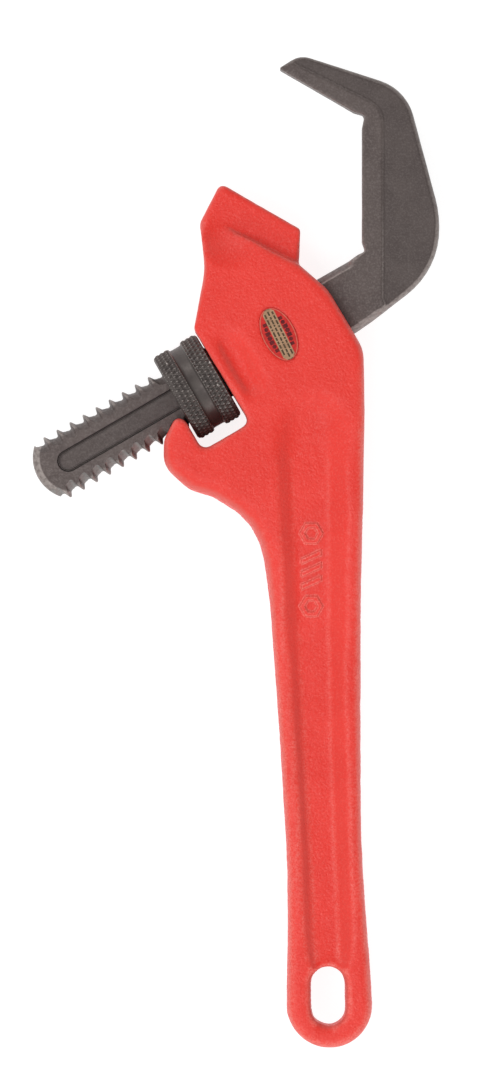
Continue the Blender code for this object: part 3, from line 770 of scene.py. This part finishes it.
def nut():
    """The nut's outline turned about its axis, with the knurl pressed in and the thread cut out."""
    places = in_shank(node_points("adjusting_nut"))
    left, right = places[:, 0].min(), places[:, 0].max()
    radius = np.hypot(places[:, 1], places[:, 2]).max()
    length = right - left
    edge = [(0.0, NUT_MOUTH), (0.0, radius - 1.1), (0.12, radius - 0.75), (0.38, radius - 0.38),
            (0.75, radius - 0.12), (1.1, radius)]
    band = [(u, radius) for u in np.arange(1.3, NUT_BAND - 0.4, 0.17)]
    side = [(NUT_BAND - 0.3, radius - 0.1), (NUT_BAND - 0.05, radius - 0.4), (NUT_BAND, radius - 0.65),
            (NUT_BAND + 0.2, radius - NUT_GROOVE), (NUT_BAND + 0.8, radius - NUT_GROOVE - 0.05)]
    profile = edge + band + side
    profile += [(length - u, r) for u, r in reversed(profile)]
    turn = np.arange(KNURL_COUNT * KNURL_SIDES) / KNURL_SIDES
    angles = turn * math.tau / KNURL_COUNT
    lead = math.tau * radius / KNURL_COUNT / math.tan(KNURL_ANGLE)
    rings = []
    for u, r in profile:
        point = np.minimum(ramp(turn + u / lead), ramp(turn - u / lead))
        within = np.array(min(u, length - u))
        share = fade(within, 0.3, 0.9) * (1 - fade(within, NUT_BAND - 0.6, NUT_BAND - 0.15))
        reach = r - KNURL_DEPTH * share * (1 - np.clip(point * 1.15, 0, 1))
        across, deep = reach * np.cos(angles), reach * np.sin(angles)
        rings.append([(left + u, v, w) for v, w in zip(across, deep)])
    made = skin("nut", rings)
    first = THREAD_START + PITCH * (math.floor((left - THREAD_START) / PITCH) - 2)
    turns = math.ceil(length / PITCH) + 5
    bore = threaded_rod("bore", BORE_PROFILE, first, turns, BORE_ROOT, BORE_CREST)
    combine(made, bore, "DIFFERENCE")
    made.data.transform(SHANK)
    return finish_piece(made, "knurled_nut", "adjusting_nut", [nut_steel()], sharp=50)


# ---- springs ----------------------------------------------------------------------------------

def springs():
    """The leaf, the coil and the rivet, which keep their shapes and are only painted."""
    steel = spring_steel()
    for node in ("flat_spring", "coil_spring", "spring_rivet"):
        mesh = frame["nodes"][node].data
        mesh.materials.clear()
        mesh.materials.append(steel)


# ---- label ------------------------------------------------------------------------------------

class Plates:
    """Thin closed plates gathered into one mesh, each with its own paint."""

    def __init__(self):
        self.points, self.faces, self.coats = [], [], []

    def prism(self, outline, low, high, coat):
        """A flat plate between two heights."""
        base, count = len(self.points), len(outline)
        self.points += [(x, y, z) for z in (low, high) for x, y in outline]
        self.faces += [list(range(base, base + count)), list(range(base + count, base + 2 * count))]
        for i in range(count):
            j = (i + 1) % count
            self.faces.append([base + i, base + j, base + count + j, base + count + i])
        self.coats += [coat] * (count + 2)

    def hoop(self, inner, outer, low, high, coat):
        """A flat ring between two outlines."""
        base, count = len(self.points), len(inner)
        loops = ((outer, low), (outer, high), (inner, high), (inner, low))
        self.points += [(x, y, z) for outline, z in loops for x, y in outline]
        for loop in range(4):
            for i in range(count):
                j = (i + 1) % count
                first, second = base + loop * count, base + (loop + 1) % 4 * count
                self.faces.append([first + i, first + j, second + j, second + i])
        self.coats += [coat] * (4 * count)


def oval(long_half, short_half, count=72):
    """An ellipse around the label's middle."""
    angles = [math.tau * k / count for k in range(count)]
    return [(long_half * math.cos(a), short_half * math.sin(a)) for a in angles]


def bar(x0, x1, y, half, chamfer=0.0):
    """A straight bar along x, with cut corners."""
    c = chamfer
    corners = [(x0, y + half - c), (x0, y - half + c), (x0 + c, y - half), (x1 - c, y - half),
               (x1, y - half + c), (x1, y + half - c), (x1 - c, y + half), (x0 + c, y + half)]
    return corners if c else [(x0, y - half), (x1, y - half), (x1, y + half), (x0, y + half)]


def hexagon(x, y, radius):
    """A hexagon with two corners along x."""
    angles = [math.tau * k / 6 for k in range(6)]
    return [(x + radius * math.cos(a), y + radius * math.sin(a)) for a in angles]


def label():
    """The oval label: a pale rim and a cream strip on red, with plain dashes, blocks and hexagons."""
    corners = node_points("nameplate")
    low, high = corners[:, 2].min(), corners[:, 2].max()
    middle = (corners.max(axis=0) + corners.min(axis=0)) / 2
    turn = np.array(Matrix.Rotation(LABEL_TURN, 3, "Z"))
    local = (corners - middle) @ turn
    long_half, short_half = local[:, 0].max(), local[:, 1].max()
    plates = Plates()
    plates.prism(oval(long_half, short_half), low, high - 0.06, RED)
    plates.prism(oval(long_half - 0.05, short_half - 0.05), low + 0.02, high, RED)
    plates.hoop(oval(long_half - 0.42, short_half - 0.42), oval(long_half - 0.2, short_half - 0.2),
                high - PRINT, high + PRINT, RIM)
    strip = short_half * LABEL_STRIP
    band = bar(-long_half + 0.3, long_half - 0.3, 0, strip, 1.1)
    plates.prism(band, high - PRINT, high + PRINT, CREAM)
    chance = np.random.default_rng(7)
    for row in (-0.64, 0, 0.64):
        reach = long_half - (1.45 if row else 1.0)
        x = -reach
        while x < reach - 0.5:
            length = min(chance.uniform(0.5, 1.7), reach - x)
            plates.prism(bar(x, x + length, row * strip, 0.25), high, high + 2 * PRINT, INK)
            x += length + chance.uniform(0.2, 0.4)
    for side in (-1, 1):
        for k in range(-3, 4):
            x, y = k * MARK_SPACING, side * (strip + 1.0 - 0.045 * k * k)
            size = MARK_SIZE - 0.05 * abs(k)
            shape = bar(x - size * 0.8, x + size * 0.8, y, size) if k % 2 else hexagon(x, y, size)
            plates.prism(shape, high - PRINT, high + PRINT, MAROON)
    place = Matrix.Translation((middle[0], middle[1], 0)) @ Matrix.Rotation(LABEL_TURN, 4, "Z")
    made = new_object("label", plates.points, plates.faces)
    made.data.transform(place)
    inks = [printed("label_red", (0.62, 0.026, 0.020), (0.46, 0.018, 0.016)),
            printed("label_rim", (0.58, 0.17, 0.11), (0.50, 0.10, 0.07)),
            printed("label_cream", (0.43, 0.265, 0.155), (0.32, 0.185, 0.105)),
            printed("label_ink", (0.055, 0.036, 0.018), (0.10, 0.060, 0.032)),
            printed("label_maroon", (0.090, 0.006, 0.010), (0.16, 0.010, 0.010))]
    return finish_piece(made, "printed_label", "nameplate", inks,
                        sharp=30, coats=plates.coats)


# ---- scene ------------------------------------------------------------------------------------

def studio_sky():
    """White walls, dimmer above the horizon at the wrench's upper right, and a darker ceiling."""
    world = bpy.data.worlds.new("studio")
    world.use_nodes = True
    sky = Tree(world.node_tree)
    direction = sky.nodes.new("ShaderNodeTexCoord").outputs["Generated"]
    height = sky.apart(direction)[2]
    away = sky.node("ShaderNodeVectorMath", {0: direction, 1: DIM_WALL}, operation="DOT_PRODUCT")
    walls = sky.largest(sky.span(away.outputs["Value"], 0.0, 0.9, 1.0, 0.65),
                        sky.span(height, 0.07, 0.17, 1.0, 0.0))
    ceiling = sky.span(height, 0.10, 0.65, 1.0, 0.60)
    background = sky.nodes["Background"]
    sky.put(background.inputs["Strength"], sky.product(ceiling, walls))
    background.inputs["Color"].default_value = (1, 1, 1, 1)
    return world


def floor():
    """A pale floor just under the wrench, bright enough to lose its shadow."""
    half = FLOOR_HALF
    outline = ((-half, -half), (half, -half), (half, half), (-half, half))
    ground = new_object("floor", [(x, y, -FLOOR_DROP) for x, y in outline], [[0, 1, 2, 3]])
    ground.data.transform(Matrix.Scale(MM, 4))
    pale = Paint("pale_floor", Roughness=0.9, Emission_Strength=0.86)
    pale.shader.inputs["Emission Color"].default_value = (1, 1, 1, 1)
    pale.set("Base Color", pale.blend(pale.noise(300), (0.25, 0.25, 0.25), (0.27, 0.27, 0.27)))
    ground.data.materials.append(pale.material)


def lamps():
    """A soft key light high on the left, and weaker low ones from below and from the upper left."""
    for name, place, size, energy in LAMPS:
        lamp = bpy.data.lights.new(name, "AREA")
        lamp.size = size
        lamp.energy = energy
        made = bpy.data.objects.new(name, lamp)
        made.location = place
        made.rotation_euler = (-Vector(place)).to_track_quat("-Z", "Y").to_euler()
        bpy.context.scene.collection.objects.link(made)


def camera():
    """Straight down on the wrench's upper side, from far enough to look flat."""
    lens = bpy.data.cameras.new("camera")
    lens.sensor_width = 36
    lens.lens = lens.sensor_width * CAMERA_DISTANCE / (VIEW_HEIGHT * MM)
    lens.clip_start = 0.05
    lens.clip_end = 40
    made = bpy.data.objects.new("camera", lens)
    made.location = Vector(CAMERA_TARGET) * MM + Vector((0, 0, CAMERA_DISTANCE))
    bpy.context.scene.collection.objects.link(made)
    bpy.context.scene.camera = made


bpy.context.scene.view_settings.view_transform = "Standard"
bpy.context.scene.world = studio_sky()
camera()
floor()
lamps()
casting()
hook()
nut()
springs()
label()
